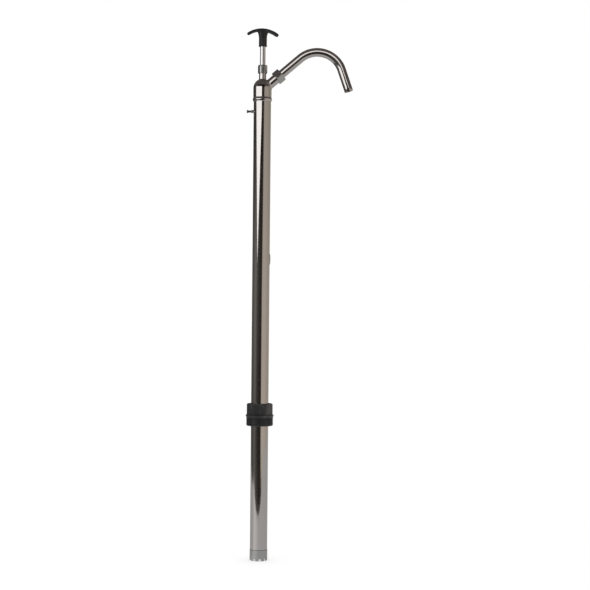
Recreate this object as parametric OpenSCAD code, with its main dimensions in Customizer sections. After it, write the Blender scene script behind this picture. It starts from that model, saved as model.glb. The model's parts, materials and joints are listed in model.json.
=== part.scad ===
// Lift-action drum pump: a straight barrel with a foot valve, a piston on a pull rod,
// a domed head with a gooseneck spout, and a 2-inch bung adapter that slides on the barrel.
// Units are millimetres. The origin is on the pump's axis, at the adapter's seat on the drum;
// +Z points up and +X points towards the spout.

/* [Barrel] */
// Outside diameter of the suction tube
tube_d = 38.1; // [36:0.1:38.4]
// Wall thickness of the suction tube
tube_wall = 1.65; // [1.2:0.05:1.7]
// Height of the tube's upper end above the bottom of the foot
tube_top = 1026; // [900:1:1100]
// Outside diameter of the castellated foot
foot_d = 39; // [38.6:0.1:40]
// Height of the visible part of the foot
foot_h = 24; // [22:1:26]
// Number of notches in the foot's rim
notch_count = 9; // [4:1:9]
// Depth of the foot below the adapter's seat
foot_drop = 317; // [150:1:500]

/* [Head] */
// Outside diameter of the head's skirt and dome
head_d = 40.2; // [40:0.1:43]
// Outside diameter of the head's neck
neck_d = 15.8; // [15.6:0.1:16]
// Outside diameter of the bead ring under the head
collar_d = 42.4; // [41:0.1:44]
// Distance across the gland nut's flats
gland_af = 19; // [18.6:0.1:22]
// Height of the gland nut
gland_h = 18.5; // [18:0.5:22]

/* [Rod and handle] */
// Diameter of the pull rod
rod_d = 12; // [11.9:0.05:12.1]
// Bare length of rod between the gland nut and the handle, with the pump closed
rod_show = 41; // [20:1:80]
// Height of the handle
handle_h = 40; // [36:1:50]
// Length of the handle's bar from tip to tip
handle_w = 75.6; // [50:0.1:100]
// Depth of the handle's bar, front to back
handle_depth = 15; // [12:0.5:17]
// Diameter of the handle's stem
stem_d = 18.2; // [16.5:0.1:20]
// Angle that the handle is turned by, from the spout's direction
handle_turn = 19; // [0:1:90]

/* [Spout] */
// Rise of the outlet above the horizontal
outlet_rise = 40.5; // [35:0.5:50]
// Outside diameter of the spout's tube
spout_d = 19.05; // [18:0.05:19.1]
// Wall thickness of the spout's tube
spout_wall = 1.5; // [1:0.1:2]
// Radius of the spout's bend, to the middle of the tube
bend_r = 57; // [45:1:80]
// Angle that the spout turns through
bend_angle = 111.5; // [80:0.5:125]
// Straight length of the spout after the bend
tail_l = 50.2; // [30:0.1:90]
// Distance across the union nut's flats
union_af = 28.6; // [28:0.1:32]

/* [Bung adapter] */
// Major diameter of the adapter's pipe thread
thread_d = 59.6; // [59:0.1:60.5]
// Length of the adapter's threaded part
thread_l = 21; // [18:0.5:26]
// Distance across the compression nut's flats
adapter_af = 50.8; // [50.4:0.1:56]
// Height of the adapter's upper end above its seat
adapter_top = 28; // [27:0.5:34]

/* [Hidden] */
$fn = 64;

// Extra length that a cut runs past a face
over = 1;
// Radial gap of a running fit
fit = 0.05;
// Length of the small chamfers
edge = 0.6;

// Barrel
tube_r = tube_d / 2;
bore_r = tube_r - tube_wall;
seat_z = 27;
inlet_r = 16.4;
port_r = 9;
spigot_top = 37;
notch_w = 6.4;
notch_h = 5;
notch_first = -79.5;

// Foot valve: disc height, disc radius and how far it can lift
disc_h = 3;
disc_r = 12.8;
disc_lift = 4;
cage_z = seat_z + disc_h + disc_lift + 0.1;

// Button that ends the upstroke, and bonding screw
button_z = 662;
button_l = 24;
button_w = 8;
button_proud = 1.8;
button_reach = 14;
bond_z = 987;
bond_boss_d = 6.6;
bond_boss_l = 5.5;
bond_screw_d = 5;
bond_head_d = 6.8;
bond_out = 15;
bond_head_h = 3;
bond_head_round = 4.2;

// Head: heights above the foot's bottom
skirt_z = 1018;
dome_z = 1039;
collar_z = 1009;
outlet_z = 1033.9;
neck_top = 1078;
guide_z = 1062;
guide_r = 7;
head_r = head_d / 2;
gland_z = 1070.5;
gland_top = gland_z + gland_h;
packing_z = neck_top + 0.2;
packing_h = 2.2;
packing_n = 3;
packing_pitch = packing_h + 0.1;
follower_z = packing_z + packing_n * packing_pitch + 0.1;
follower_h = 1.5;

// Outlet: distances along its own axis from the pump's axis
spigot_d = 21.3;
outlet_bore_r = 7.5;
union_thread_r = 12;
union_z = 39;
union_h = 16;
spigot_end = 47;
gasket_h = 1.45;
ferrule_z = spigot_end + gasket_h + 0.1;
ferrule_h = 2.7;
straight_end = 109.4;
bend_lap = 0.5;
bend_step = 0.02;

// Piston stack: heights above the foot's bottom, with the pump closed
stud_z = 37.6;
stud_r = 4;
nut_z = 40;
nut_h = 6.4;
nut_af = 13;
washer_h = 1.5;
piston_z = 48.3;
piston_flange_h = 3;
waist_r = 13;
piston_top = 69;
hub_r = 5.5;
hub_top = 77;
cup_h = 5;
cup_r = bore_r - 0.09;
valve_h = 3;
valve_r = 12.5;
stop_h = 2.1;
stop_r = 10;
shoulder_z = hub_top + 0.3 + stop_h;

// Rod and handle
rod_r = rod_d / 2;
handle_z = gland_top + rod_show;
insert_l = 24;
stud_top = handle_z + 22;
rod_stud_r = 5;
insert_af = 13;
bar_t = 7;
bar_drop_r = 63;

// Adapter: heights above its seat
adapter_bore_r = tube_r + button_proud + 0.25;
flange_h = 3;
flange_r = thread_d / 2 + 1;
sleeve_r = 23.2;
sleeve_top = 15;
cap_z = flange_h + 0.3;
cap_wall_z = 22.6;
ring_z = sleeve_top + 0.1;
ring_h = 6;
grip_washer_z = ring_z + ring_h + 0.1;
grip_washer_h = 1.2;
ring_gap = button_w + 2;
adapter_corner_r = 29.2;
adapter_nut_turn = 3;

// Heights above the foot's bottom, for everything on the pump itself
module in_pump() {
    translate([0, 0, -foot_drop])
        children();
}

// Along the outlet: local +Z runs out of the head, local +X is the spout's inner side
module along_outlet() {
    in_pump()
        translate([0, 0, outlet_z])
            rotate([0, 90 - outlet_rise, 0])
                children();
}

// Plain ring between two radii
module ring(z, h, r_in, r_out) {
    translate([0, 0, z])
        difference() {
            cylinder(r = r_out, h = h);
            translate([0, 0, -over])
                cylinder(r = r_in, h = h + 2 * over);
        }
}

// Solid disc with a chamfer at both ends
module chamfered(z, h, r, c) {
    translate([0, 0, z + c])
        cylinder(r = r, h = h - 2 * c);
    translate([0, 0, z])
        cylinder(r1 = r - c, r2 = r, h = c);
    translate([0, 0, z + h - c])
        cylinder(r1 = r, r2 = r - c, h = c);
}

// Six-sided prism, measured across its flats, with its corners turned to a round
module hex_blank(z, h, af, round_r, turn) {
    intersection() {
        translate([0, 0, z])
            rotate([0, 0, turn])
                cylinder(r = af / 2 / cos(30), h = h, $fn = 6);
        chamfered(z, h, round_r, edge);
    }
}

// ---- Bung adapter ----

module adapter_body() {
    color([0.11, 0.11, 0.11])
        difference() {
            union() {
                translate([0, 0, -thread_l])
                    cylinder(r1 = thread_d / 2 - 1.5, r2 = thread_d / 2, h = 1.5);
                translate([0, 0, -thread_l + 1.5])
                    cylinder(r = thread_d / 2, h = thread_l - 1.5);
                chamfered(0, flange_h, flange_r, edge);
                cylinder(r = sleeve_r, h = sleeve_top);
            }
            translate([0, 0, -thread_l - over])
                cylinder(r = adapter_bore_r, h = thread_l + sleeve_top + 2 * over);
        }
}

module adapter_nut() {
    color([0.11, 0.11, 0.11])
        difference() {
            hex_blank(cap_z, adapter_top - cap_z, adapter_af, adapter_corner_r, adapter_nut_turn);
            translate([0, 0, cap_z - over])
                cylinder(r = sleeve_r + fit, h = cap_wall_z - cap_z + over);
            translate([0, 0, cap_z])
                cylinder(r = adapter_bore_r, h = adapter_top);
        }
}

// Split ring: its gap lets the stop button pass
module grip_ring() {
    color([0.16, 0.16, 0.16])
        difference() {
            ring(ring_z, ring_h, tube_r + fit, sleeve_r - 0.1);
            translate([0, -ring_gap / 2, ring_z - over])
                cube([sleeve_r + over, ring_gap, ring_h + 2 * over]);
        }
}

module grip_washer() {
    color([0.75, 0.75, 0.76])
        ring(grip_washer_z, grip_washer_h, adapter_bore_r, sleeve_r - 0.1);
}

// ---- Barrel ----

module suction_tube() {
    color([0.66, 0.63, 0.6])
        in_pump()
            difference() {
                ring(foot_h, tube_top - foot_h, bore_r, tube_r);
                translate([0, 0, button_z])
                    rotate([0, 90, 0])
                        cylinder(d = button_w + 2 * fit, h = tube_d);
            }
}

module foot_notch(angle) {
    rotate([0, 0, angle])
        translate([inlet_r - over, 0, 0]) {
            translate([0, 0, notch_h - notch_w / 2])
                rotate([0, 90, 0])
                    cylinder(d = notch_w, h = foot_d / 2);
            translate([0, -notch_w / 2, -over])
                cube([foot_d / 2, notch_w, notch_h - notch_w / 2 + over]);
        }
}

module foot_shell() {
    color([0.62, 0.62, 0.61])
        in_pump()
            difference() {
                union() {
                    cylinder(d = foot_d, h = foot_h);
                    cylinder(r = bore_r - fit, h = spigot_top);
                }
                translate([0, 0, -over])
                    cylinder(r = inlet_r, h = foot_h - 6 + over);
                cylinder(r = port_r, h = spigot_top);
                translate([0, 0, seat_z])
                    cylinder(r = disc_r + 0.4, h = spigot_top);
                translate([0, 0, seat_z + disc_h + 1.5])
                    cylinder(r = 15, h = spigot_top);
                for (i = [0 : notch_count - 1])
                    foot_notch(notch_first + i * 360 / notch_count);
            }
}

module foot_valve_disc() {
    color([0.93, 0.93, 0.9])
        in_pump()
            translate([0, 0, seat_z + 0.05])
                cylinder(r = disc_r, h = disc_h);
}

// Ring with two crossing bars that stop the disc
module foot_valve_cage() {
    cage_foot = seat_z + disc_h + 1.55;
    color([0.7, 0.7, 0.7])
        in_pump() {
            ring(cage_foot, spigot_top - cage_foot, disc_r + 0.4, 15 - fit);
            intersection() {
                translate([0, 0, cage_z])
                    cylinder(r = disc_r + 1, h = spigot_top - cage_z);
                for (turn = [0, 90])
                    rotate([0, 0, turn])
                        translate([-inlet_r, -2, cage_z])
                            cube([2 * inlet_r, 4, spigot_top - cage_z]);
            }
        }
}

// Oblong pad outside the tube, with a shank through the wall that stops the piston
module stop_button() {
    color([0.66, 0.63, 0.6])
        in_pump()
            translate([0, 0, button_z]) {
                difference() {
                    intersection() {
                        translate([0, 0, -button_l / 2])
                            cylinder(r = tube_r + button_proud, h = button_l);
                        union() {
                            for (s = [-1, 1])
                                translate([0, 0, s * (button_l - button_w) / 2])
                                    rotate([0, 90, 0])
                                        cylinder(d = button_w, h = tube_d);
                            translate([0, -button_w / 2, -(button_l - button_w) / 2])
                                cube([tube_d, button_w, button_l - button_w]);
                        }
                    }
                    translate([0, 0, -button_l])
                        cylinder(r = tube_r + 0.02, h = 2 * button_l);
                }
                translate([button_reach, 0, 0])
                    rotate([0, 90, 0])
                        cylinder(d = button_w, h = tube_r + 1 - button_reach);
            }
}

// Points outwards on the side away from the spout
module along_bond() {
    in_pump()
        translate([-tube_r, 0, bond_z])
            rotate([0, -90, 0])
                children();
}

module bond_boss() {
    color([0.5, 0.42, 0.4])
        difference() {
            along_bond()
                translate([0, 0, -1])
                    difference() {
                        cylinder(d = bond_boss_d, h = bond_boss_l + 1);
                        translate([0, 0, 1.5])
                            cylinder(d = bond_screw_d + 2 * fit, h = bond_boss_l);
                    }
            in_pump()
                translate([0, 0, bond_z - bond_boss_d])
                    cylinder(r = tube_r + 0.02, h = 2 * bond_boss_d);
        }
}

module bond_screw() {
    color([0.45, 0.44, 0.43])
        along_bond() {
            translate([0, 0, 1])
                cylinder(d = bond_screw_d, h = bond_out - 2.5);
            translate([0, 0, bond_out - bond_head_h])
                intersection() {
                    cylinder(d = bond_head_d, h = bond_head_h);
                    sphere(r = bond_head_round);
                }
        }
}

// ---- Head ----

module head() {
    color([0.6, 0.57, 0.55])
        difference() {
            union() {
                in_pump() {
                    translate([0, 0, skirt_z])
                        cylinder(r = head_r, h = dome_z - skirt_z);
                    intersection() {
                        translate([0, 0, dome_z])
                            sphere(r = head_r);
                        translate([0, 0, dome_z])
                            cylinder(r = head_d, h = head_d);
                    }
                    translate([0, 0, dome_z])
                        cylinder(d = neck_d, h = neck_top - dome_z);
                }
                along_outlet() {
                    cylinder(d = spigot_d, h = spigot_end - 7);
                    translate([0, 0, spigot_end - 7])
                        cylinder(r = union_thread_r, h = 7);
                }
            }
            in_pump() {
                translate([0, 0, skirt_z - over])
                    cylinder(r = tube_r + 0.02, h = tube_top - skirt_z + over);
                translate([0, 0, skirt_z])
                    cylinder(r = bore_r, h = dome_z - skirt_z);
                translate([0, 0, dome_z])
                    sphere(r = bore_r);
                translate([0, 0, dome_z])
                    cylinder(r = rod_r + 0.35, h = neck_top);
                translate([0, 0, guide_z])
                    cylinder(r = guide_r, h = neck_top);
            }
            along_outlet()
                cylinder(r = outlet_bore_r, h = spigot_end + over);
        }
}

module head_collar() {
    color([0.6, 0.57, 0.55])
        in_pump()
            difference() {
                chamfered(collar_z, skirt_z - collar_z, collar_d / 2, 1.2);
                translate([0, 0, collar_z - over])
                    cylinder(r = tube_r + 0.02, h = skirt_z);
            }
}

module rod_guide() {
    color([0.93, 0.93, 0.9])
        in_pump()
            ring(guide_z, neck_top - guide_z - 1, rod_r + fit, guide_r - 0.02);
}

module gland_packing() {
    color([0.9, 0.9, 0.87])
        in_pump()
            for (i = [0 : packing_n - 1])
                ring(packing_z + i * packing_pitch, packing_h, rod_r + fit, neck_d / 2 - fit);
}

module gland_follower() {
    color([0.7, 0.7, 0.7])
        in_pump()
            ring(follower_z, follower_h, rod_r + 0.3, neck_d / 2 - fit);
}

module gland_nut() {
    color([0.6, 0.6, 0.59])
        in_pump()
            difference() {
                hex_blank(gland_z, gland_h, gland_af, 10.4, 0);
                translate([0, 0, gland_z - over])
                    cylinder(r = neck_d / 2 + fit, h = follower_z + follower_h + 0.1 - gland_z + over);
                translate([0, 0, gland_z])
                    cylinder(r = rod_r + 0.35, h = gland_h + over);
            }
}

// ---- Outlet and spout ----

module union_gasket() {
    color([0.9, 0.9, 0.87])
        along_outlet()
            ring(spigot_end + 0.05, gasket_h, 8, union_thread_r - 0.2);
}

module spout_ferrule() {
    color([0.62, 0.6, 0.58])
        along_outlet()
            ring(ferrule_z, ferrule_h, spout_d / 2 + 0.02, union_thread_r - 0.1);
}

module union_nut() {
    lip_z = ferrule_z + ferrule_h + 0.1;
    color([0.6, 0.6, 0.59])
        along_outlet()
            difference() {
                hex_blank(union_z, union_h, union_af, 16, 30);
                translate([0, 0, union_z - over])
                    cylinder(r = union_thread_r + fit, h = lip_z - union_z + over);
                translate([0, 0, union_z])
                    cylinder(r = spout_d / 2 + 0.35, h = union_h + over);
            }
}

// Round bar along the spout, bending towards local -X: straight, bend and tail.
// The bend is a hair thicker, and the straight ends run into it, so that no two faces are tangent.
module spout_bar(d, extra) {
    translate([0, 0, ferrule_z - extra])
        cylinder(d = d, h = straight_end - ferrule_z + extra + bend_lap);
    translate([-bend_r, 0, straight_end]) {
        rotate([90, 0, 0])
            rotate_extrude(angle = bend_angle)
                translate([bend_r, 0])
                    circle(d = d + 2 * bend_step);
        rotate([0, -bend_angle, 0])
            translate([bend_r, 0, -bend_lap])
                cylinder(d = d, h = bend_lap + tail_l + extra);
    }
}

module spout() {
    color([0.66, 0.63, 0.61])
        along_outlet()
            rotate([0, 0, 180])
                difference() {
                    spout_bar(spout_d, 0);
                    spout_bar(spout_d - 2 * spout_wall, over);
                }
}

// ---- Piston ----

module piston_body() {
    color([0.7, 0.7, 0.7])
        in_pump()
            difference() {
                union() {
                    translate([0, 0, piston_z])
                        cylinder(r = bore_r - 0.5, h = piston_flange_h);
                    translate([0, 0, piston_z])
                        cylinder(r = waist_r, h = piston_top - piston_z);
                    translate([0, 0, piston_z])
                        cylinder(r = hub_r, h = hub_top - piston_z);
                }
                translate([0, 0, piston_z - over])
                    cylinder(r = stud_r + fit, h = hub_top);
                for (i = [0 : 5])
                    rotate([0, 0, 60 * i])
                        translate([9.2, 0, piston_z - over])
                            cylinder(d = 4.6, h = piston_top);
            }
}

// Cup ring: flat web inside, lip standing up along the bore
module cup(z) {
    translate([0, 0, z])
        rotate_extrude()
            polygon([[waist_r + fit, 0], [cup_r, 0], [cup_r, cup_h], [cup_r - 1.2, cup_h],
                     [cup_r - 2, 2], [waist_r + fit, 2]]);
}

module cup_seal_lower() {
    color([0.93, 0.93, 0.9])
        in_pump()
            cup(piston_z + piston_flange_h + 0.05);
}

module piston_spacer() {
    color([0.7, 0.7, 0.7])
        in_pump()
            ring(piston_z + piston_flange_h + 2.1, 6, waist_r + fit, waist_r + 1.9);
}

module cup_seal_upper() {
    color([0.93, 0.93, 0.9])
        in_pump()
            cup(piston_z + piston_flange_h + 8.15);
}

module piston_ring() {
    ring_foot = piston_z + piston_flange_h + 10.2;
    color([0.7, 0.7, 0.7])
        in_pump()
            ring(ring_foot, piston_top - ring_foot, waist_r + fit, waist_r + 1.9);
}

module piston_valve_disc() {
    color([0.93, 0.93, 0.9])
        in_pump()
            ring(piston_top + 0.05, valve_h, hub_r + 0.3, valve_r);
}

// ---- Rod and handle ----

module rod() {
    color([0.72, 0.7, 0.69])
        in_pump() {
            translate([0, 0, stud_z])
                cylinder(r = stud_r, h = shoulder_z - stud_z);
            translate([0, 0, shoulder_z])
                cylinder(r = rod_r, h = handle_z - shoulder_z);
            translate([0, 0, handle_z])
                cylinder(r = rod_stud_r, h = stud_top - handle_z);
        }
}

module valve_stop() {
    color([0.7, 0.7, 0.7])
        in_pump()
            ring(hub_top + 0.3, stop_h - 0.02, stud_r + fit, stop_r);
}

module piston_washer() {
    color([0.7, 0.7, 0.7])
        in_pump()
            ring(nut_z + nut_h + 0.05, washer_h, stud_r + fit, 9);
}

module piston_nut() {
    color([0.7, 0.7, 0.7])
        in_pump()
            difference() {
                hex_blank(nut_z, nut_h, nut_af, 7.3, 0);
                translate([0, 0, nut_z - over])
                    cylinder(r = stud_r + fit, h = nut_h + 2 * over);
            }
}

module handle_insert() {
    color([0.78, 0.66, 0.36])
        in_pump()
            translate([0, 0, handle_z + 0.5])
                difference() {
                    cylinder(r = insert_af / 2 / cos(30), h = insert_l, $fn = 6);
                    translate([0, 0, -over])
                        cylinder(r = rod_stud_r + fit, h = insert_l - 1);
                }
}

// Arched bar, round-ended in plan, on a round stem
module handle() {
    top_z = handle_z + handle_h;
    color([0.09, 0.09, 0.09])
        in_pump()
            rotate([0, 0, handle_turn])
                difference() {
                    union() {
                        translate([0, 0, handle_z])
                            cylinder(d = stem_d, h = handle_h - bar_t + 2);
                        intersection() {
                            translate([0, handle_depth / 2, top_z - bar_drop_r])
                                rotate([90, 0, 0])
                                    linear_extrude(handle_depth)
                                        difference() {
                                            circle(r = bar_drop_r);
                                            translate([0, -bar_t - 3])
                                                circle(r = bar_drop_r + 3);
                                        }
                            translate([0, 0, handle_z + 5])
                                linear_extrude(handle_h)
                                    union() {
                                        square([handle_w - handle_depth, handle_depth], center = true);
                                        for (s = [-1, 1])
                                            translate([s * (handle_w - handle_depth) / 2, 0])
                                                circle(d = handle_depth);
                                    }
                        }
                    }
                    rotate([0, 0, -handle_turn])
                        translate([0, 0, handle_z - over])
                            cylinder(r = insert_af / 2 / cos(30) + 0.02, h = insert_l + 0.5 + over, $fn = 6);
                }
}

adapter_body();
adapter_nut();
grip_ring();
grip_washer();
suction_tube();
foot_shell();
foot_valve_cage();
foot_valve_disc();
stop_button();
bond_boss();
bond_screw();
head();
head_collar();
rod_guide();
gland_packing();
gland_follower();
gland_nut();
union_gasket();
union_nut();
spout_ferrule();
spout();
piston_body();
cup_seal_lower();
piston_spacer();
cup_seal_upper();
piston_ring();
piston_valve_disc();
rod();
valve_stop();
piston_washer();
piston_nut();
handle_insert();
handle();
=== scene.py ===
"""Looks of the lift-action drum pump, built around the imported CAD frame. Metres, +Z up, spout towards +X."""

import json
import math

import bmesh
import bpy
from mathutils import Matrix, Vector


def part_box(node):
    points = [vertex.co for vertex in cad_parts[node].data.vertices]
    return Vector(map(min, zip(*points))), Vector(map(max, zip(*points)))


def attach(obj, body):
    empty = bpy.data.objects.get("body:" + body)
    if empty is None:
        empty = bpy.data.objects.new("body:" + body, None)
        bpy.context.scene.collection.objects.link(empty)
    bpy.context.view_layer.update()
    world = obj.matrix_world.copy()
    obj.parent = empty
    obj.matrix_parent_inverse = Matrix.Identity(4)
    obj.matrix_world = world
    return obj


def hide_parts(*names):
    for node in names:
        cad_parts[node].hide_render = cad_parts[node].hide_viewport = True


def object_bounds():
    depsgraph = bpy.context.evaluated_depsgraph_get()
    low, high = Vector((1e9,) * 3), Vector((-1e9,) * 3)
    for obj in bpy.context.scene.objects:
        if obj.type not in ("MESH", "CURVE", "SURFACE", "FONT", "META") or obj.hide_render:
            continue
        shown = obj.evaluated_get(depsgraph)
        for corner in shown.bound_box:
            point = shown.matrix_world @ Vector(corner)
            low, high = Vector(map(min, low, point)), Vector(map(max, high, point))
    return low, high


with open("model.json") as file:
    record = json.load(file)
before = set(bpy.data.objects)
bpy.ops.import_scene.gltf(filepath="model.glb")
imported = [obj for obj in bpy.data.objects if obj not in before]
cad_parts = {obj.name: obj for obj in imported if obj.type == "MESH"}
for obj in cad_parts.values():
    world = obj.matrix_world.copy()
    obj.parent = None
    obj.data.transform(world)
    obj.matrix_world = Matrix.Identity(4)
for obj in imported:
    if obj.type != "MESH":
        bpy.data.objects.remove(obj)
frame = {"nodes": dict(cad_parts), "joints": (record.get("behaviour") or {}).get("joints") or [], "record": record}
cad_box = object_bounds()

MM = 0.001
TAU = 2 * math.pi
MERGE_DISTANCE = 1e-6
JOINTS = {joint["name"]: joint for joint in frame["joints"]}
MOUNTS = {mount["name"]: mount for mount in frame["record"]["mounts"]}

# ---------------------------------------------------------------- mesh tools


def make_object(name, verts, faces, sharp_deg=35.0):
    """Mesh object with outward normals, smooth faces, and sharp edges above sharp_deg."""
    mesh = bpy.data.meshes.new(name)
    mesh.from_pydata([tuple(v) for v in verts], [], faces)
    finish_mesh(mesh, sharp_deg)
    obj = bpy.data.objects.new(name, mesh)
    bpy.context.scene.collection.objects.link(obj)
    return obj


def finish_mesh(mesh, sharp_deg):
    bm = bmesh.new()
    bm.from_mesh(mesh)
    bmesh.ops.remove_doubles(bm, verts=bm.verts, dist=MERGE_DISTANCE)
    bmesh.ops.recalc_face_normals(bm, faces=bm.faces)
    limit = math.radians(sharp_deg)
    for face in bm.faces:
        face.smooth = True
    for edge in bm.edges:
        edge.smooth = edge.calc_face_angle(0.0) < limit
    bm.to_mesh(mesh)
    bm.free()
    mesh.update()


def skin(rings, closed_path=False, caps=False):
    """Vertices and faces that join rings of equal length, one after the other."""
    count = len(rings[0])
    verts = [point for ring in rings for point in ring]
    faces = []
    steps = len(rings) if closed_path else len(rings) - 1
    for i in range(steps):
        here = i * count
        there = ((i + 1) % len(rings)) * count
        for j in range(count):
            k = (j + 1) % count
            faces.append((here + j, here + k, there + k, there + j))
    if caps:
        faces.append(tuple(range(count)))
        faces.append(tuple(range((len(rings) - 1) * count, len(rings) * count)))
    return verts, faces


def arc(cx, cz, radius, start_deg, end_deg, steps):
    """Points of an arc in an (r, z) outline."""
    points = []
    for i in range(steps + 1):
        angle = math.radians(start_deg + (end_deg - start_deg) * i / steps)
        points.append((cx + radius * math.cos(angle), cz + radius * math.sin(angle)))
    return points


def axis_frame(origin, direction, side=(0, 1, 0)):
    """Matrix whose +Z is direction and whose +Y is as near as it can be to side."""
    z = Vector(direction).normalized()
    x = Vector(side).cross(z).normalized()
    y = z.cross(x)
    return Matrix.Translation(Vector(origin)) @ Matrix((x, y, z)).transposed().to_4x4()


def circle(r, z, place, steps):
    """Ring of points round place's axis, at radius r and height z."""
    angles = [TAU * j / steps for j in range(steps)]
    return [place @ Vector((r * math.cos(angle), r * math.sin(angle), z)) for angle in angles]


def turned(name, shape, place=None, steps=128, sharp_deg=35.0):
    """Solid of revolution. shape is a closed (r, z) outline, in metres; place is its frame."""
    place = place or Matrix.Identity(4)
    rings = [circle(r, z, place, steps) for r, z in shape]
    verts, faces = skin(rings, closed_path=True)
    return make_object(name, verts, faces, sharp_deg)


def polar(name, heights, radius_at, bore, place=None, steps=192, sharp_deg=35.0):
    """Solid whose outside is radius_at(angle, z) over the heights, with a plain bore through it."""
    place = place or Matrix.Identity(4)
    rings = []
    for z in heights:
        ring = []
        for j in range(steps):
            angle = TAU * j / steps
            r = radius_at(angle, z)
            ring.append(place @ Vector((r * math.cos(angle), r * math.sin(angle), z)))
        rings.append(ring)
    rings += [circle(r, z, place, steps) for r, z in bore]
    verts, faces = skin(rings, closed_path=True)
    return make_object(name, verts, faces, sharp_deg)


def hex_radius(angle, flats, turn, corner):
    """Distance from the axis to a hexagon's side, with corners rounded off by a softened maximum."""
    total = 0.0
    sharpness = flats / 2 / corner
    for k in range(6):
        facing = math.cos(angle - turn - TAU * k / 6)
        if facing > 0:
            total += facing ** sharpness
    return flats / 2 / total ** (1 / sharpness)


def softened_minimum(a, b, power):
    """Smaller of two radii, rounded off where they are close; a higher power rounds less."""
    return (a ** -power + b ** -power) ** (-1 / power)


def rounded_cut(near, reach, depth):
    """What a rounded edge takes off a radius: depth at the face, nothing from reach inwards."""
    t = 1 - min(near / reach, 1.0)
    return depth * (1 - math.sqrt(max(1 - t * t, 0.0)))


def thread_wave(angle, z, pitch):
    """1 on a thread's crest and 0 in its root, changing evenly between them."""
    return abs(((z / pitch - angle / TAU) % 1.0) - 0.5) * 2


def spaced(start, end, count):
    return [start + (end - start) * i / (count - 1) for i in range(count)]


def eased_heights(low, high, edge, edge_steps, middle_steps):
    """Heights from low to high, close together over the first and last edge."""
    lower = spaced(low, low + edge, edge_steps)
    upper = spaced(high - edge, high, edge_steps)
    return lower + spaced(low + edge, high - edge, middle_steps)[1:-1] + upper


def put(piece, body, nodes, material):
    """A piece stands for the CAD nodes it hides, rides on the body it is given and takes the finish it is given.
    """
    piece.data.materials.clear()
    piece.data.materials.append(material)
    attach(piece, body)
    if nodes:
        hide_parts(*nodes)


# ---------------------------------------------------------------- materials


class Nodes:
    """Short calls for building a node tree."""

    def __init__(self, tree):
        self.tree = tree
        tree.nodes.clear()

    def add(self, kind):
        return self.tree.nodes.new(kind)

    def link(self, out, into):
        self.tree.links.new(out, into)

    def math(self, operation, a, b=None, c=None):
        node = self.add("ShaderNodeMath")
        node.operation = operation
        for socket, value in zip(node.inputs, (a, b, c)):
            self.feed(socket, value)
        return node.outputs[0]

    def feed(self, socket, value):
        if value is None:
            return
        if isinstance(value, bpy.types.NodeSocket):
            self.link(value, socket)
        else:
            socket.default_value = value

    def ramp(self, fac, stops):
        """Colour ramp; stops are (position, colour or grey)."""
        node = self.add("ShaderNodeValToRGB")
        elements = node.color_ramp.elements
        while len(elements) > 1:
            elements.remove(elements[-1])
        for i, (position, value) in enumerate(stops):
            element = elements[0] if i == 0 else elements.new(position)
            element.position = position
            rgb = (value,) * 3 if isinstance(value, (int, float)) else value
            element.color = (*rgb, 1.0)
        self.link(fac, node.inputs["Fac"])
        return node.outputs["Color"]

    def mix(self, fac, a, b):
        node = self.add("ShaderNodeMix")
        node.data_type = "RGBA"
        self.feed(node.inputs["Factor"], fac)
        for socket, value in ((node.inputs["A"], a), (node.inputs["B"], b)):
            if isinstance(value, (tuple, list)):
                socket.default_value = (*value, 1.0) if len(value) == 3 else value
            else:
                self.feed(socket, value)
        return node.outputs["Result"]

    def noise(self, scale, stretch=(1, 1, 1), detail=3.0, roughness=0.5):
        """Noise over the object's own coordinates, in features per metre times stretch."""
        coords = self.add("ShaderNodeTexCoord")
        mapping = self.add("ShaderNodeMapping")
        mapping.inputs["Scale"].default_value = stretch
        self.link(coords.outputs["Object"], mapping.inputs["Vector"])
        noise = self.add("ShaderNodeTexNoise")
        noise.inputs["Scale"].default_value = scale
        noise.inputs["Detail"].default_value = detail
        noise.inputs["Roughness"].default_value = roughness
        self.link(mapping.outputs["Vector"], noise.inputs["Vector"])
        return noise.outputs["Fac"]


def principled(name, metallic, specular=0.5):
    material = bpy.data.materials.new(name)
    material.use_nodes = True
    nodes = Nodes(material.node_tree)
    shader = nodes.add("ShaderNodeBsdfPrincipled")
    shader.inputs["Metallic"].default_value = metallic
    shader.inputs["Specular IOR Level"].default_value = specular
    output = nodes.add("ShaderNodeOutputMaterial")
    nodes.link(shader.outputs["BSDF"], output.inputs["Surface"])
    return material, nodes, shader


def add_bump(nodes, shader, height, strength, distance):
    bump = nodes.add("ShaderNodeBump")
    bump.inputs["Strength"].default_value = strength
    bump.inputs["Distance"].default_value = distance
    nodes.link(height, bump.inputs["Height"])
    nodes.link(bump.outputs["Normal"], shader.inputs["Normal"])


def polished_steel(name, tint, stretch, gloss=(0.04, 0.12)):
    """Buffed tube: faint polishing streaks, long where stretch is small, and a few dull marks."""
    material, nodes, shader = principled(name, 1.0)
    streaks = nodes.noise(900, stretch, detail=4)
    marks = nodes.noise(38, (1, 1, 0.6), detail=5, roughness=0.6)
    dull = nodes.ramp(marks, [(0.52, 0.0), (0.74, 1.0)])
    fine = nodes.math("MULTIPLY_ADD", streaks, gloss[1] - gloss[0], gloss[0])
    rough = nodes.math("MULTIPLY_ADD", dull, 0.05, fine)
    nodes.link(rough, shader.inputs["Roughness"])
    darker = tuple(channel * 0.94 for channel in tint)
    nodes.link(nodes.mix(marks, tint, darker), shader.inputs["Base Color"])
    add_bump(nodes, shader, streaks, 0.02, 0.005 * MM)
    return material


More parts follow.
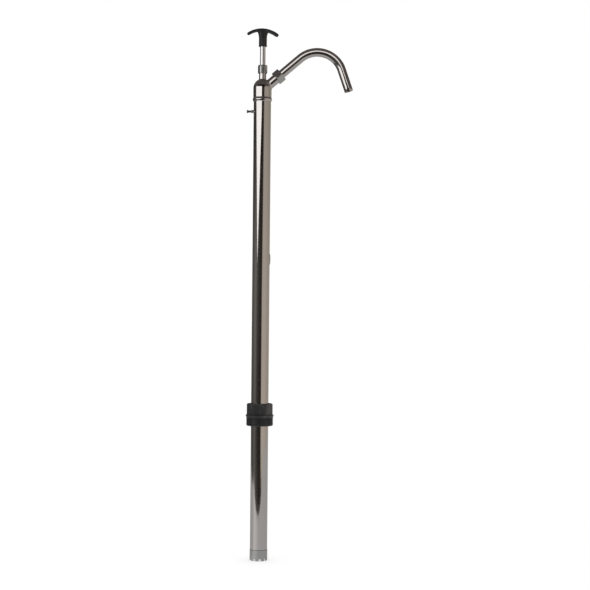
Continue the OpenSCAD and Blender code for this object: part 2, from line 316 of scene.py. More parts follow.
def satin_steel(name, tint, stretch, gloss=(0.16, 0.28)):
    """Machined, bead-dulled steel: fine turning lines and a cloudy tone."""
    material, nodes, shader = principled(name, 1.0)
    lines = nodes.noise(1400, stretch, detail=3)
    cloud = nodes.noise(120, detail=4)
    rough = nodes.math("MULTIPLY_ADD", lines, gloss[1] - gloss[0], gloss[0])
    nodes.link(rough, shader.inputs["Roughness"])
    darker = tuple(channel * 0.84 for channel in tint)
    nodes.link(nodes.mix(cloud, tint, darker), shader.inputs["Base Color"])
    add_bump(nodes, shader, lines, 0.1, 0.01 * MM)
    return material


def moulded_plastic(name, tint, gloss, grain_scale, grain_depth):
    """Moulded plastic: fine surface grain, and paler scuffs where hands rub."""
    material, nodes, shader = principled(name, 0.0)
    grain = nodes.noise(grain_scale, detail=2)
    scuff = nodes.noise(90, (1, 1, 0.4), detail=6, roughness=0.65)
    worn = nodes.ramp(scuff, [(0.5, 0.0), (0.75, 1.0)])
    paler = tuple(channel * 2.2 + 0.004 for channel in tint)
    nodes.link(nodes.mix(worn, tint, paler), shader.inputs["Base Color"])
    rough = nodes.math("MULTIPLY_ADD", worn, 0.14, gloss)
    nodes.link(rough, shader.inputs["Roughness"])
    add_bump(nodes, shader, grain, 0.35, grain_depth)
    return material


def seal_material(name, tint, gloss):
    """White fluoropolymer or rubber: waxy, with faint turning rings."""
    material, nodes, shader = principled(name, 0.0, 0.4)
    rings = nodes.noise(700, (1, 1, 3), detail=2)
    cloud = nodes.noise(150, detail=4)
    nodes.link(nodes.mix(cloud, tint, tuple(c * 0.86 for c in tint)), shader.inputs["Base Color"])
    nodes.link(nodes.math("MULTIPLY_ADD", rings, 0.15, gloss), shader.inputs["Roughness"])
    add_bump(nodes, shader, rings, 0.2, 0.03 * MM)
    return material


ALONG_TUBE = (1.0, 1.0, 0.02)
AROUND_AXIS = (0.15, 0.15, 1.0)
EVEN = (1.0, 1.0, 1.0)
STEEL = (0.66, 0.625, 0.6)
MATERIALS = {
    "polished_steel": polished_steel("polished_steel", STEEL, ALONG_TUBE),
    "rod_steel": polished_steel("rod_steel", (0.74, 0.725, 0.72), ALONG_TUBE, (0.04, 0.1)),
    "satin_steel": satin_steel("satin_steel", (0.56, 0.56, 0.55), AROUND_AXIS),
    "dark_steel": satin_steel("dark_steel", (0.24, 0.22, 0.21), AROUND_AXIS),
    "inner_steel": satin_steel("inner_steel", (0.6, 0.6, 0.59), AROUND_AXIS, (0.2, 0.34)),
    "black_plastic": moulded_plastic("black_plastic", (0.022, 0.022, 0.023), 0.28, 2600, 0.02 * MM),
    "handle_plastic": moulded_plastic("handle_plastic", (0.010, 0.010, 0.010), 0.4, 3200, 0.03 * MM),
    "grip_rubber": seal_material("grip_rubber", (0.03, 0.03, 0.03), 0.6),
    "seal_plastic": seal_material("seal_plastic", (0.88, 0.88, 0.85), 0.38),
    "insert_brass": satin_steel("insert_brass", (0.78, 0.6, 0.3), AROUND_AXIS, (0.2, 0.35)),
    "spout_steel": polished_steel("spout_steel", STEEL, EVEN),
}

for entry in frame["record"]["subparts"]:
    cad_node = frame["nodes"][entry["node"]]
    cad_node.data.materials.clear()
    cad_node.data.materials.append(MATERIALS[entry["material_slot"]])

# ---------------------------------------------------------------- barrel

tube_low, tube_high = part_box("suction_tube")
tube_r = tube_high.x
TUBE_WALL = 1.65 * MM


def make_barrel():
    lip = 0.4 * MM
    inner = tube_r - TUBE_WALL
    shape = [(inner, tube_low.z), (tube_r - lip, tube_low.z), (tube_r, tube_low.z + lip)]
    shape += [(tube_r, z) for z in spaced(tube_low.z + 5 * MM, tube_high.z - 5 * MM, 24)]
    shape += [(tube_r, tube_high.z - lip), (tube_r - lip, tube_high.z), (inner, tube_high.z)]
    piece = turned("barrel_tube", shape, steps=192)
    put(piece, "barrel", ["suction_tube"], MATERIALS["polished_steel"])


def make_foot():
    """Castellated foot: the rim's height follows the notches round it."""
    low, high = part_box("foot_shell")
    foot_r = high.x
    shoulder = tube_low.z
    notches, first, width, depth = 9, math.radians(-79.5), 6.4 * MM, 5 * MM
    inner_r, port_r, round_off = 16.4 * MM, 9 * MM, 0.5 * MM
    disc_room_r, cage_room_r, spigot_r = 13.2 * MM, 15 * MM, 17.3 * MM
    chamber_top, port_top, seat_z, cage_foot = (low.z + rise * MM for rise in (18, 26.4, 27, 31.5))
    edge_lift = 0.35 * MM

    def rim(angle, radius):
        pitch = TAU / notches
        off = abs((angle - first + pitch / 2) % pitch - pitch / 2) * radius
        half = width / 2
        if off >= half + round_off:
            return 0.0
        if off >= half:
            t = (half + round_off - off) / round_off
            return edge_lift * t * t
        crown = depth - half + math.sqrt(max(half * half - off * off, 0.0))
        return max(crown, edge_lift)

    steps = 1080
    rings = []
    groove = [(foot_r - 0.5 * MM, shoulder - 0.02 * MM), (foot_r, shoulder - 0.5 * MM)]
    groove += [(foot_r, z) for z in spaced(shoulder - 1.5 * MM, low.z + 7 * MM, 6)]
    outside = [(foot_r, 2.2), (foot_r, 1.2), (foot_r - 0.15 * MM, 0.55), (foot_r - 0.5 * MM, 0.1)]
    under = [(foot_r - 0.9 * MM, 0.0), (inner_r + 0.8 * MM, 0.0), (inner_r + 0.3 * MM, 0.2), (inner_r, 0.9)]
    upper = [(inner_r, low.z + 8 * MM), (inner_r, chamber_top), (port_r + 1 * MM, chamber_top),
             (port_r, low.z + 19 * MM), (port_r, port_top), (port_r + 0.6 * MM, seat_z),
             (disc_room_r, seat_z), (disc_room_r, cage_foot), (cage_room_r, cage_foot),
             (cage_room_r, high.z), (spigot_r, high.z), (spigot_r, shoulder)]
    angles = [TAU * j / steps for j in range(steps)]
    for r, z in groove:
        rings.append([(r * math.cos(a), r * math.sin(a), z) for a in angles])
    for r, lift in outside + under:
        rings.append([(r * math.cos(a), r * math.sin(a), low.z + rim(a, foot_r) + lift * MM) for a in angles])
    for r, z in upper:
        rings.append([(r * math.cos(a), r * math.sin(a), z) for a in angles])
    verts, faces = skin(rings, closed_path=True)
    piece = make_object("foot_casting", verts, faces, 40)
    put(piece, "barrel", ["foot_shell"], MATERIALS["satin_steel"])


def make_button():
    """Domed oblong button on the spout's side of the tube."""
    low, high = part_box("stop_button")
    middle = (low.z + high.z) / 2
    half_z, half_y = (high.z - low.z) / 2, high.y
    proud = high.x - tube_r
    shank_r, sunk, skirt = 4 * MM, 0.1 * MM, 1.2 * MM
    rings = []
    steps, levels = 96, 14
    for i in range(levels + 1):
        t = i / levels
        size = math.sin(t * math.pi / 2)
        height = math.cos(t * math.pi / 2) ** 0.8
        ring = []
        for j in range(steps):
            angle = TAU * j / steps
            straight = half_z - half_y
            y = half_y * size * math.cos(angle)
            z = half_y * size * math.sin(angle) + straight * size * math.copysign(1, math.sin(angle)) \
                * min(abs(math.sin(angle)) * 3, 1.0)
            surface = math.sqrt(tube_r ** 2 - y * y)
            ring.append((surface - sunk + proud * height, y, middle + z))
        rings.append(ring)
    rings.append([(x - skirt, y, z) for x, y, z in rings[-1]])
    for x, radius in ((tube_r - 1.5 * MM, shank_r), (low.x + 0.5 * MM, shank_r), (low.x, shank_r - 0.5 * MM)):
        rings.append([(x, radius * math.cos(TAU * j / steps), middle + radius * math.sin(TAU * j / steps))
                      for j in range(steps)])
    verts, faces = skin(rings, caps=True)
    piece = make_object("button_cap", verts, faces, 50)
    put(piece, "barrel", ["stop_button"], MATERIALS["polished_steel"])


# ---------------------------------------------------------------- head

outlet = JOINTS["spout_swivel"]
outlet_axis = Vector(outlet["axis"]).normalized()
cross_z = outlet["pos_m"][2] - outlet["pos_m"][0] / outlet_axis.x * outlet_axis.z
outlet_origin = Vector((0, 0, cross_z))
outlet_place = axis_frame(outlet_origin, outlet_axis)

head_low, head_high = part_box("head")
head_r = -head_low.x
NECK_R = 7.9 * MM
SPIGOT_R = 10.65 * MM
dome_z = head_low.z + 21 * MM


def make_head():
    """Skirt, dome and neck in one turning."""
    fillet, edge = 1.4 * MM, 0.4 * MM
    guide_r, rod_hole_r, guide_z = 6.9 * MM, 6.35 * MM, dome_z + 15 * MM
    cavity_r, socket_r, socket_top = head_r - 3 * MM, tube_r + 0.05 * MM, head_low.z + 8 * MM
    reach = head_r + fillet
    meet = math.degrees(math.acos((NECK_R + fillet) / reach))
    cx, cz = NECK_R + fillet, dome_z + reach * math.sin(math.radians(meet))
    shape = [(socket_r, head_low.z), (head_r - edge, head_low.z), (head_r, head_low.z + edge)]
    shape += [(head_r, z) for z in spaced(head_low.z + 2 * MM, dome_z - 1 * MM, 8)]
    shape += arc(0, dome_z, head_r, 0, meet, 40)
    shape += arc(cx, cz, fillet, 180 + meet, 180, 12)[1:]
    shape += [(NECK_R, head_high.z - 0.3 * MM), (NECK_R - 0.3 * MM, head_high.z),
              (guide_r, head_high.z), (guide_r, guide_z), (rod_hole_r, guide_z)]
    shape += arc(0, dome_z, cavity_r, 68, 0, 16)
    shape += [(cavity_r, socket_top), (socket_r, socket_top)]
    shell = turned("head_casting", shape, steps=192)
    put(shell, "barrel", ["head"], MATERIALS["polished_steel"])


def surface_hit(direction_point, along):
    """Distance along the outlet at which a line parallel to it leaves the head's skirt or dome."""
    low, high = 0.0, 60 * MM
    for _ in range(40):
        middle = (low + high) / 2
        point = direction_point + along * middle
        flat = math.hypot(point.x, point.y)
        rise = max(point.z - dome_z, 0.0)
        if math.hypot(flat, rise) < head_r:
            low = middle
        else:
            high = middle
    return low


def on_head(point):
    """Nearest point of the head's skirt or dome."""
    rise = max(point.z - dome_z, 0.0)
    base = Vector((0, 0, point.z - rise))
    offset = point - base
    return base + offset.normalized() * head_r


def make_spigot():
    """Outlet stub: grows out of the dome through a brazed fillet, then a plain neck and a threaded end."""
    steps, blend, spread = 160, 10, 3.0 * MM
    neck_end, end = 38.5 * MM, 47 * MM
    thread_r, thread_start, edge = 12 * MM, neck_end + 1.2 * MM, 0.6 * MM
    bore_r, bore_floor = 7.5 * MM, 26 * MM
    columns = []
    for j in range(steps):
        angle = TAU * j / steps
        side = outlet_place.to_3x3() @ Vector((math.cos(angle), math.sin(angle), 0))
        start = outlet_origin + side * SPIGOT_R
        hit = surface_hit(start, outlet_axis)
        corner = start + outlet_axis * hit
        upper = start + outlet_axis * (hit + spread)
        foot_point = on_head(corner + (side - outlet_axis * 0.3).normalized() * spread)
        sunk = (foot_point - outlet_origin).normalized() * 1.2 * MM
        column = [foot_point - sunk]
        for i in range(blend + 1):
            t = i / blend
            column.append(foot_point * (1 - t) ** 2 + corner * 2 * t * (1 - t) + upper * t * t)
        for s in spaced(hit + spread, neck_end, 5)[1:]:
            column.append(start + outlet_axis * s)
        for r, s in ((thread_r, thread_start), (thread_r, end - edge), (thread_r - edge, end),
                     (bore_r, end), (bore_r, bore_floor)):
            column.append(outlet_origin + side * r + outlet_axis * s)
        columns.append(column)
    rings = [[column[i] for column in columns] for i in range(len(columns[0]))]
    verts, faces = skin(rings, caps=True)
    piece = make_object("outlet_spigot", verts, faces, 40)
    put(piece, "barrel", [], MATERIALS["polished_steel"])


def make_collar():
    """Rolled bead where the head meets the tube."""
    low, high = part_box("head_collar")
    height = high.z - low.z
    inner, steps = tube_r + 0.03 * MM, 24
    root = inner + 0.3 * MM
    proud = high.x - root
    shape = [(inner, low.z), (root, low.z)]
    for i in range(1, steps):
        t = i / steps
        shape.append((root + proud * math.sin(math.pi * t) ** 0.75, low.z + height * t))
    shape += [(root, high.z), (inner, high.z)]
    piece = turned("head_bead", shape, steps=192, sharp_deg=60)
    put(piece, "barrel", ["head_collar"], MATERIALS["polished_steel"])


def make_nut(name, node, body, place, low, high, flats, round_r, turn, bore_r, corner, cone):
    """Hexagon nut with turned-off corners and chamfered ends."""
    depth, slope = cone

    def radius_at(angle, z):
        flat = hex_radius(angle, flats, turn, corner)
        envelope = round_r - rounded_cut(min(z - low, high - z), depth, slope)
        return softened_minimum(flat, envelope, power=40)

    lip = 0.5 * MM
    bore = [(bore_r + lip, high), (bore_r, high - lip), (bore_r, low + lip), (bore_r + lip, low)]
    heights = eased_heights(low, high, depth, 14, 8)
    piece = polar(name, heights, radius_at, bore, place, 240, 40)
    put(piece, body, [node], MATERIALS["satin_steel"])


def make_gland_nut():
    low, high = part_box("gland_nut")
    make_nut("gland_hex", "gland_nut", "packing_nut", None, low.z, high.z, flats=19 * MM, round_r=10.4 * MM,
             turn=math.radians(90), bore_r=6.35 * MM, corner=0.35 * MM, cone=(2.6 * MM, 1.5 * MM))


def make_union_nut():
    make_nut("union_hex", "union_nut", "outlet_nut", outlet_place, 39 * MM, 55 * MM, flats=28.6 * MM,
             round_r=15.9 * MM, turn=0.0, bore_r=9.9 * MM, corner=0.4 * MM, cone=(2.4 * MM, 1.8 * MM))


# ---------------------------------------------------------------- spout

SPOUT_R = 9.525 * MM
SPOUT_WALL = 1.5 * MM
BEND_R = 57 * MM
BEND_ANGLE = math.radians(111.5)
STRAIGHT_END = 109.4 * MM
SPOUT_START = 48.6 * MM
TAIL = MOUNTS["spout_end"]["dims"]["length_mm"] * MM


def spout_path():
    """Middle line of the gooseneck: straight out of the union, round the bend, down the tail."""
    inner = Vector((outlet_axis.z, 0, -outlet_axis.x))
    centre = outlet_origin + outlet_axis * STRAIGHT_END + inner * BEND_R
    path = [(outlet_origin + outlet_axis * s, outlet_axis) for s in spaced(SPOUT_START, STRAIGHT_END, 8)]
    for angle in spaced(0, BEND_ANGLE, 49)[1:]:
        point = centre - inner * BEND_R * math.cos(angle) + outlet_axis * BEND_R * math.sin(angle)
        path.append((point, outlet_axis * math.cos(angle) + inner * math.sin(angle)))
    last, direction = path[-1]
    path += [(last + direction * s, direction) for s in spaced(0, TAIL - 0.5 * MM, 8)[1:]]
    return path, last + direction * TAIL, direction


def make_spout():
    path, tip, direction = spout_path()
    side = Vector((0, 1, 0))
    steps = 96

    def ring_at(point, along, radius):
        up = along.cross(side)
        return [point + (up * math.cos(TAU * j / steps) + side * math.sin(TAU * j / steps)) * radius
                for j in range(steps)]

    rings = [ring_at(point, along, SPOUT_R) for point, along in path]
    inner_r, lip, lip_step = SPOUT_R - SPOUT_WALL, 0.45 * MM, 0.18 * MM
    near_tip = tip - direction * 0.12 * MM
    rings += [ring_at(near_tip, direction, SPOUT_R - lip_step), ring_at(tip, direction, SPOUT_R - lip),
              ring_at(tip, direction, inner_r + lip), ring_at(near_tip, direction, inner_r + lip_step)]
    rings += [ring_at(point, along, inner_r) for point, along in reversed(path)]
    verts, faces = skin(rings, closed_path=True)
    piece = make_object("gooseneck_tube", verts, faces, 40)
    put(piece, "gooseneck", ["spout"], MATERIALS["spout_steel"])


# ---------------------------------------------------------------- bonding screw

bond_place = axis_frame((0, 0, JOINTS["bond_screw_turn"]["pos_m"][2]), (-1, 0, 0))


def make_bond_screw():
    screw_low, screw_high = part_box("bond_screw")
    out = -screw_low.x
    stem, pitch, thread_depth, core = 2.5 * MM, 0.8 * MM, 0.4 * MM, 0.2 * MM
    head, collar = screw_high.y, out - 3.1 * MM
    thread_base, thread_top = tube_r + 1.2 * MM, collar + 0.2 * MM
    rounded, ridge_depth, ridges = 0.7 * MM, 0.12 * MM, 12

    def radius_at(angle, z):
        return stem - thread_depth * (1 - thread_wave(angle, z, pitch))

    shaft = polar("bond_thread", spaced(thread_base, thread_top, 110), radius_at,
                  [(core, thread_top), (core, thread_base)], bond_place, 48, 60)
    put(shaft, "ground_screw", ["bond_screw"], MATERIALS["dark_steel"])

    def knurl(angle, z):
        near = min(z - collar, out - z)
        rounding = max(0.0, rounded - near)
        ridge = ridge_depth * abs(math.sin(angle * ridges)) if near > 0.5 * MM else 0.0
        return head - ridge - rounding * rounding / (2 * rounded)

    recess_floor = out - 0.9 * MM
    top = [(1.6 * MM, out), (1.4 * MM, recess_floor), (core, recess_floor), (core, collar)]
    knob = polar("bond_head", eased_heights(collar, out, rounded, 8, 5), knurl, top, bond_place, 144, 40)
    put(knob, "ground_screw", [], MATERIALS["dark_steel"])


def make_bond_boss():
    low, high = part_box("bond_boss")
    out = -low.x
    radius = high.y
    base = tube_r - 0.6 * MM
    bore, edge = 2.55 * MM, 0.4 * MM
    shape = [(bore, base), (radius, base), (radius, base + 1.2 * MM)]
    shape += arc(radius - edge, out - edge, edge, 0, 90, 6)
    shape += [(bore + 0.25 * MM, out), (bore, out - 0.3 * MM)]
    piece = turned("bond_collar", shape, bond_place, 64)
    put(piece, "barrel", ["bond_boss"], MATERIALS["satin_steel"])


# ---------------------------------------------------------------- rod and handle

handle_low, handle_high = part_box("handle")
HANDLE_TURN = math.radians(19)


def make_rod():
    low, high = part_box("rod")
    radius = high.x
    shoulder = low.z + 41.8 * MM
    top = handle_low.z + 0.3 * MM
    stud_r, handle_stud_r, edge = 4 * MM, 5 * MM, 0.5 * MM
    axis_r = 0.0002 * MM
    shape = [(axis_r, low.z), (stud_r - edge, low.z), (stud_r, low.z + edge), (stud_r, shoulder)]
    shape += [(radius - edge, shoulder), (radius, shoulder + edge)]
    shape += [(radius, z) for z in spaced(shoulder + 6 * MM, top - 2 * MM, 24)]
    shape += [(radius, top), (handle_stud_r, top), (handle_stud_r, high.z - edge),
              (handle_stud_r - edge, high.z), (axis_r, high.z)]
    piece = turned("pull_rod_bar", shape, steps=96)
    put(piece, "pull_rod", ["rod"], MATERIALS["rod_steel"])


def superellipse(half_a, half_b, power, steps):
    points = []
    for j in range(steps):
        angle = TAU * j / steps
        c, s = math.cos(angle), math.sin(angle)
        points.append((math.copysign(abs(c) ** (2 / power), c) * half_a,
                       math.copysign(abs(s) ** (2 / power), s) * half_b))
    return points


def make_handle():
    """Arched T-bar on a flared stem, blended into one moulding."""
    turn = Matrix.Rotation(HANDLE_TURN, 4, "Z")
    half_w, depth, arch_r, thick = 37.8 * MM, 15 * MM, 63 * MM, 7 * MM
    taper_from, taper_power, bar_power = 0.84, 2.6, 2.6
    top = handle_high.z
    rings = []
    limit = math.asin((half_w - 0.2 * MM) / arch_r)
    count = 61
    for i in range(count):
        u = -1 + 2 * i / (count - 1)
        angle = limit * u
        end = max((abs(u) - taper_from) / (1 - taper_from), 0.0)
        taper = math.sqrt(max(1 - end ** taper_power, 0.0004))
        height = thick / 2 * (0.15 + 0.85 * taper)
        width = depth / 2 * (1 - 0.1 * u * u) * taper
        middle_r = arch_r - thick / 2
        centre = Vector((middle_r * math.sin(angle), 0, top - arch_r + middle_r * math.cos(angle)))
        up = Vector((math.sin(angle), 0, math.cos(angle)))
        rings.append([turn @ (centre + Vector((0, 1, 0)) * a + up * b)
                      for a, b in superellipse(width, height, bar_power, 40)])
    bar_verts, bar_faces = skin(rings, caps=True)
    stem_r = 9.1 * MM
    stem_low = handle_low.z
    flare_low, flare_high = stem_low + 17 * MM, top - 4.5 * MM
    rings = []
    heights = [stem_low, stem_low + 0.3 * MM, stem_low + 1.0 * MM, stem_low + 1.6 * MM]
    heights += spaced(stem_low + 2.4 * MM, flare_low, 8) + spaced(flare_low, flare_high, 14)[1:]
    for z in heights:
        t = max((z - flare_low) / (flare_high - flare_low), 0.0)
        grow = 9.0 * MM * (1 - math.sqrt(max(1 - t * t, 0.0)))
        rim = 0.45 * MM if stem_low + 0.2 * MM <= z < stem_low + 1.8 * MM else 0.0
        a, b = stem_r - 0.25 * MM + rim + grow, stem_r - 0.25 * MM + rim - 1.3 * MM * t
        rings.append([turn @ Vector((x, y, z)) for x, y in superellipse(a, b, 2, 96)])
    stem_verts, stem_faces = skin(rings, caps=True)
    offset = len(bar_verts)
    faces = bar_faces + [tuple(i + offset for i in face) for face in stem_faces]
    piece = make_object("handle_moulding", bar_verts + stem_verts, faces)
    blend = piece.modifiers.new("blend", "REMESH")
    blend.mode = "VOXEL"
    blend.voxel_size = 0.45 * MM
    blend.use_smooth_shade = True
    soften = piece.modifiers.new("soften", "SMOOTH")
    soften.factor = 0.5
    soften.iterations = 9
    apply_modifiers(piece)
    put(piece, "pull_rod", ["handle"], MATERIALS["handle_plastic"])


def apply_modifiers(obj):
    """Replaces the mesh by what its modifiers make."""
    evaluated = obj.evaluated_get(bpy.context.evaluated_depsgraph_get())
    result = bpy.data.meshes.new_from_object(evaluated)
    obj.modifiers.clear()
    obj.data = result
    for polygon in result.polygons:
        polygon.use_smooth = True


# ---------------------------------------------------------------- bung adapter


def make_adapter_body():
    """Pipe-threaded bung plug with a small flange and the sleeve that the nut screws on."""
    low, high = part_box("adapter_body")
    pitch, depth = 2.309 * MM, 1.3 * MM
    major = 29.8 * MM
    flange_r = high.x
    bore_r = 21.1 * MM
    run_out, fade, lead_in = -2.2 * MM, 1.2 * MM, 1.6 * MM
    start = low.z

    def radius_at(angle, z):
        wave = min(max((thread_wave(angle, z, pitch) - 0.12) / 0.76, 0.0), 1.0)
        cut = depth * (1 - wave)
        cut *= min(max((run_out - z) / fade, 0.0), 1.0)
        lead = max(0.0, lead_in - (z - start))
        return min(major - cut, major - lead * 0.9) - (0.5 * MM if z <= start + 1e-7 else 0.0)

    heights = [start] + spaced(start + 0.25 * MM, -0.6 * MM, 150)
    sleeve_r = 23.1 * MM
    edge, flange_h = 0.55 * MM, 3 * MM
    top = arc(flange_r - edge, edge, edge, -90, 0, 5) + arc(flange_r - edge, flange_h - edge, edge, 0, 90, 5)
    top += [(sleeve_r + 0.4 * MM, flange_h), (sleeve_r, flange_h + 0.4 * MM), (sleeve_r, high.z - 0.6 * MM),
            (sleeve_r - 0.6 * MM, high.z), (bore_r + 0.5 * MM, high.z), (bore_r, high.z - 0.5 * MM),
            (bore_r, start + 0.8 * MM), (bore_r + 0.8 * MM, start)]
    piece = polar("bung_plug", heights, radius_at, top, None, 240, 38)
    put(piece, "adapter", ["adapter_body"], MATERIALS["black_plastic"])


def make_adapter_nut():
    """Hexagonal compression nut with turned-off corners and a domed top edge."""
    low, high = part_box("adapter_nut")
    flats, round_r, corner = 50.8 * MM, 29.2 * MM, 0.9 * MM
    turn = math.radians(3 + 30)
    bore_r, over_sleeve_r = 21.1 * MM, 23.3 * MM

    def radius_at(angle, z):
        flat = hex_radius(angle, flats, turn, corner)
        top_cut = rounded_cut(high.z - z, 3.6 * MM, 3.4 * MM) * 1.6
        envelope = round_r - top_cut - rounded_cut(z - low.z, 0.6 * MM, 0.5 * MM)
        return softened_minimum(flat, envelope, power=60)

    heights = spaced(low.z, low.z + 0.8 * MM, 6) + spaced(low.z + 1.4 * MM, high.z - 4 * MM, 10)
    heights += spaced(high.z - 3.7 * MM, high.z, 18)
    rim = 0.9 * MM
    bore = [(bore_r + 2.6 * MM, high.z), (bore_r + rim, high.z - 0.3 * MM), (bore_r, high.z - 1.4 * MM),
            (bore_r, high.z - 5 * MM), (over_sleeve_r, high.z - 5.4 * MM), (over_sleeve_r, low.z)]
    piece = polar("clamp_hex", heights, radius_at, bore, None, 288, 38)
    put(piece, "clamp_nut", ["adapter_nut"], MATERIALS["black_plastic"])


make_barrel()
make_foot()
make_button()
make_head()
make_spigot()
make_collar()
make_gland_nut()
make_union_nut()
make_spout()
make_bond_boss()
make_bond_screw()
make_rod()
make_handle()
make_adapter_body()
make_adapter_nut()

# ---------------------------------------------------------------- studio

PHOTO_WIDTH_M = 1.299
CAMERA_DISTANCE = 3.3
CAMERA_HEIGHT = 0.267
CAMERA_SIDE = 0.0755
CAMERA_ROLL = math.radians(-0.5)
FLOOR_R = 0.68


def make_camera():
    camera = bpy.data.cameras.new("camera")
    camera.sensor_width = 36.0
    camera.lens = camera.sensor_width * CAMERA_DISTANCE / PHOTO_WIDTH_M
    holder = bpy.data.objects.new("camera", camera)
    holder.matrix_world = (Matrix.Translation((CAMERA_SIDE, -CAMERA_DISTANCE, CAMERA_HEIGHT))
                           @ Matrix.Rotation(CAMERA_ROLL, 4, "Y") @ Matrix.Rotation(math.pi / 2, 4, "X"))
    bpy.context.scene.collection.objects.link(holder)
    bpy.context.scene.camera = holder


def at(degrees):
    """Position on a ramp that goes once round the horizon, from -180 to 180 degrees."""
    return 0.5 + degrees / 360


def mark(degrees):
    """Position on a ramp that rises past the horizon, from -30 to 30 degrees."""
    return 0.5 + degrees / 60


def glowing(name, strength_of):
    """Material that only shines. strength_of builds its strength from the node tree."""
    material = bpy.data.materials.new(name)
    material.use_nodes = True
    nodes = Nodes(material.node_tree)
    glow = nodes.add("ShaderNodeEmission")
    nodes.feed(glow.inputs["Strength"], strength_of(nodes))
    output = nodes.add("ShaderNodeOutputMaterial")
    nodes.link(glow.outputs["Emission"], output.inputs["Surface"])
    return material


def make_floor():
    """Round white sheet under the foot, softly lit from below so that only a faint shadow shows."""
    z = cad_box[0].z - 0.0002
    rings = [[(r * math.cos(TAU * j / 96), r * math.sin(TAU * j / 96), z) for j in range(96)]
             for r in (0.001, 0.1, 0.25, 0.45, FLOOR_R)]
    verts, faces = skin(rings)
    floor = make_object("floor", verts, faces)
    material, nodes, shader = principled("paper", 0.0, 0.1)
    fibre = nodes.noise(300, detail=5)
    nodes.link(nodes.mix(fibre, (0.45, 0.45, 0.45), (0.42, 0.42, 0.425)), shader.inputs["Base Color"])
    shader.inputs["Roughness"].default_value = 0.9
    shader.inputs["Emission Color"].default_value = (1.0, 1.0, 1.0, 1.0)
    shader.inputs["Emission Strength"].default_value = 0.56
    floor.data.materials.append(material)
    floor.visible_glossy = False


def mirrored_only(obj):
    """The object is seen in mirrored surfaces and nowhere else."""
    obj.visible_camera = False
    obj.visible_diffuse = False
    obj.visible_shadow = False
    obj.visible_transmission = False


def make_mirrored_floor():
    """What the polished tube mirrors of the floor: a grey sheet whose front edge runs close to the pump."""
    z = cad_box[0].z - 0.0006
    outline = [(-1.38, 3.0), (-1.38, -0.54), (-0.74, -0.61), (-0.13, -0.69),
               (0.39, -0.89), (2.4, -1.6), (2.4, 3.0)]
    sheet = make_object("mirrored_floor", [(x, y, z) for x, y in outline], [tuple(range(len(outline)))])

    def strength(nodes):
        coords = nodes.add("ShaderNodeTexCoord")
        split = nodes.add("ShaderNodeSeparateXYZ")
        nodes.link(coords.outputs["Object"], split.inputs["Vector"])
        side = nodes.math("ARCTAN2", split.outputs["X"], nodes.math("MULTIPLY", split.outputs["Y"], -1.0))
        turn = nodes.math("MULTIPLY_ADD", side, 1 / TAU, 0.5)
        return nodes.ramp(turn, [(at(-150), 0.40), (at(-85), 0.47), (at(-55), 0.70), (at(-30), 0.60),
                                 (at(0), 0.47), (at(60), 0.46), (at(110), 0.44)])

    sheet.data.materials.append(glowing("mirrored_floor", strength))
    mirrored_only(sheet)


def make_softbox():
    """Large soft light at the front left; its lower edge comes to a shallow point."""
    distance = 1.0
    base = cad_box[0].z
    outline = [(-84, 1.15), (-48, 0.675), (-6, 1.118), (-6, 1.3), (-48, 1.32), (-84, 1.3)]
    verts = []
    for degrees, height in outline:
        angle = math.radians(degrees)
        verts.append((distance * math.sin(angle), -distance * math.cos(angle), base + height))
    panel = make_object("softbox", verts, [(0, 1, 4, 5), (1, 2, 3, 4)], 180)
    panel.data.materials.append(glowing("softbox", lambda nodes: 1.4))
    mirrored_only(panel)


def make_spout_light():
    """Strip light overhead that only the gooseneck and the outlet mirror."""
    distance, first, span = 2.0, -62, 92
    centre_x, centre_z = 0.09, cad_box[0].z + 1.12
    verts, faces = [], []
    steps = 16
    for i in range(steps + 1):
        azimuth = math.radians(first + span * i / steps)
        for rise in (10, 37):
            up = math.radians(rise)
            verts.append((centre_x + distance * math.cos(up) * math.sin(azimuth),
                          -distance * math.cos(up) * math.cos(azimuth), centre_z + distance * math.sin(up)))
        if i:
            faces.append((2 * i - 2, 2 * i - 1, 2 * i + 1, 2 * i))
    strip = make_object("spout_light", verts, faces, 180)
    strip.data.materials.append(glowing("spout_light", lambda nodes: 1.15))
    mirrored_only(strip)
    lit = bpy.data.collections.new("spout_light_receivers")
    for name in ("gooseneck_tube", "outlet_spigot"):
        lit.objects.link(bpy.data.objects[name])
    strip.light_linking.receiver_collection = lit


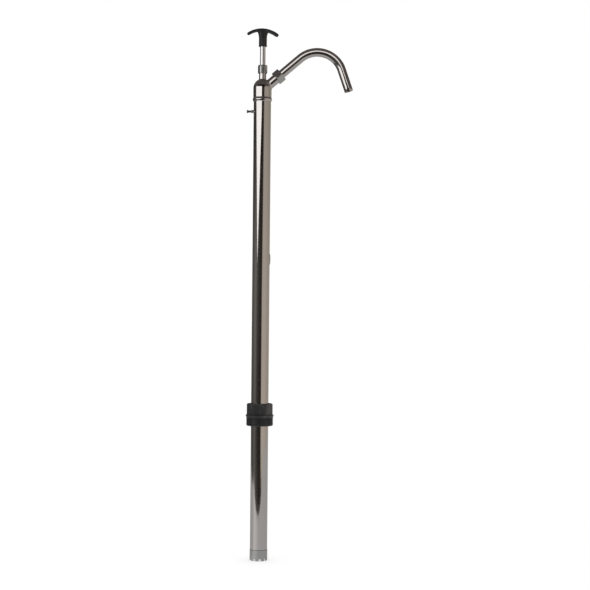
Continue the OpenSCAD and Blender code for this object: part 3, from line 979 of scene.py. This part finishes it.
def make_world():
    """White studio; mirrored surfaces see its walls: dark at the camera, warm grey on the right."""
    world = bpy.data.worlds.new("studio")
    bpy.context.scene.world = world
    world.use_nodes = True
    nodes = Nodes(world.node_tree)
    coords = nodes.add("ShaderNodeTexCoord")
    split = nodes.add("ShaderNodeSeparateXYZ")
    nodes.link(coords.outputs["Generated"], split.inputs["Vector"])
    x, y, z = split.outputs
    rise = nodes.math("MULTIPLY", nodes.math("ARCSINE", z), 180 / math.pi)
    side = nodes.math("MULTIPLY", nodes.math("ARCTAN2", x, nodes.math("MULTIPLY", y, -1.0)), 180 / math.pi)
    climb = nodes.math("MINIMUM", nodes.math("MAXIMUM", rise, 0.0), 10.0)
    side = nodes.math("MULTIPLY_ADD", climb, -1.2, side)
    dip = nodes.add("ShaderNodeMapRange")
    for key, value in (("From Min", -6.5), ("From Max", -7.3), ("To Min", 0.0), ("To Max", -17.0)):
        dip.inputs[key].default_value = value
    nodes.link(rise, dip.inputs["Value"])
    side = nodes.math("ADD", side, dip.outputs["Result"])
    turn = nodes.math("MULTIPLY_ADD", side, 1 / 360, 0.5)
    walls = nodes.ramp(turn, [
        (at(-180), (0.10, 0.095, 0.09)), (at(-125), (0.10, 0.095, 0.09)), (at(-98), (0.12, 0.115, 0.11)),
        (at(-80), (0.19, 0.185, 0.175)), (at(-62), (0.16, 0.155, 0.15)), (at(-48), (0.085, 0.08, 0.075)),
        (at(-22), (0.04, 0.034, 0.03)), (at(5), (0.03, 0.024, 0.02)), (at(14), (0.06, 0.052, 0.045)),
        (at(20), (0.49, 0.45, 0.40)), (at(60), (0.50, 0.45, 0.395)), (at(100), (0.42, 0.375, 0.325)),
        (at(180), (0.40, 0.355, 0.31))])
    level = nodes.math("MULTIPLY_ADD", rise, 1 / 60, 0.5)
    left_dim = nodes.ramp(level, [(mark(-9), 0.62), (mark(-4), 0.75), (mark(-1), 1.0), (mark(2), 1.0),
                                  (mark(5), 0.5), (mark(14), 0.5)])
    right_dim = nodes.ramp(level, [(mark(0), 1.05), (mark(7), 0.86)])
    on_right = nodes.ramp(turn, [(at(0), 0.0), (at(10), 1.0)])
    dim = nodes.mix(on_right, left_dim, right_dim)
    shade = nodes.add("ShaderNodeMix")
    shade.data_type = "RGBA"
    shade.blend_type = "MULTIPLY"
    shade.inputs["Factor"].default_value = 1.0
    nodes.link(walls, shade.inputs["A"])
    nodes.link(dim, shade.inputs["B"])
    roof = nodes.ramp(level, [(mark(12), 0.0), (mark(20), 1.0)])
    shell = nodes.mix(roof, shade.outputs["Result"], (0.10, 0.085, 0.08))
    path = nodes.add("ShaderNodeLightPath")
    glossy = nodes.add("ShaderNodeBackground")
    nodes.link(shell, glossy.inputs["Color"])
    soft = nodes.add("ShaderNodeBackground")
    soft.inputs["Color"].default_value = (1.0, 1.0, 1.0, 1.0)
    soft.inputs["Strength"].default_value = 1.1
    white = nodes.add("ShaderNodeBackground")
    white.inputs["Color"].default_value = (1.0, 1.0, 1.0, 1.0)
    first = nodes.add("ShaderNodeMixShader")
    nodes.link(path.outputs["Is Glossy Ray"], first.inputs[0])
    nodes.link(soft.outputs[0], first.inputs[1])
    nodes.link(glossy.outputs[0], first.inputs[2])
    second = nodes.add("ShaderNodeMixShader")
    nodes.link(path.outputs["Is Camera Ray"], second.inputs[0])
    nodes.link(first.outputs[0], second.inputs[1])
    nodes.link(white.outputs[0], second.inputs[2])
    output = nodes.add("ShaderNodeOutputWorld")
    nodes.link(second.outputs[0], output.inputs["Surface"])


make_camera()
make_floor()
make_mirrored_floor()
make_softbox()
make_spout_light()
make_world()
bpy.context.scene.view_settings.view_transform = "Standard"
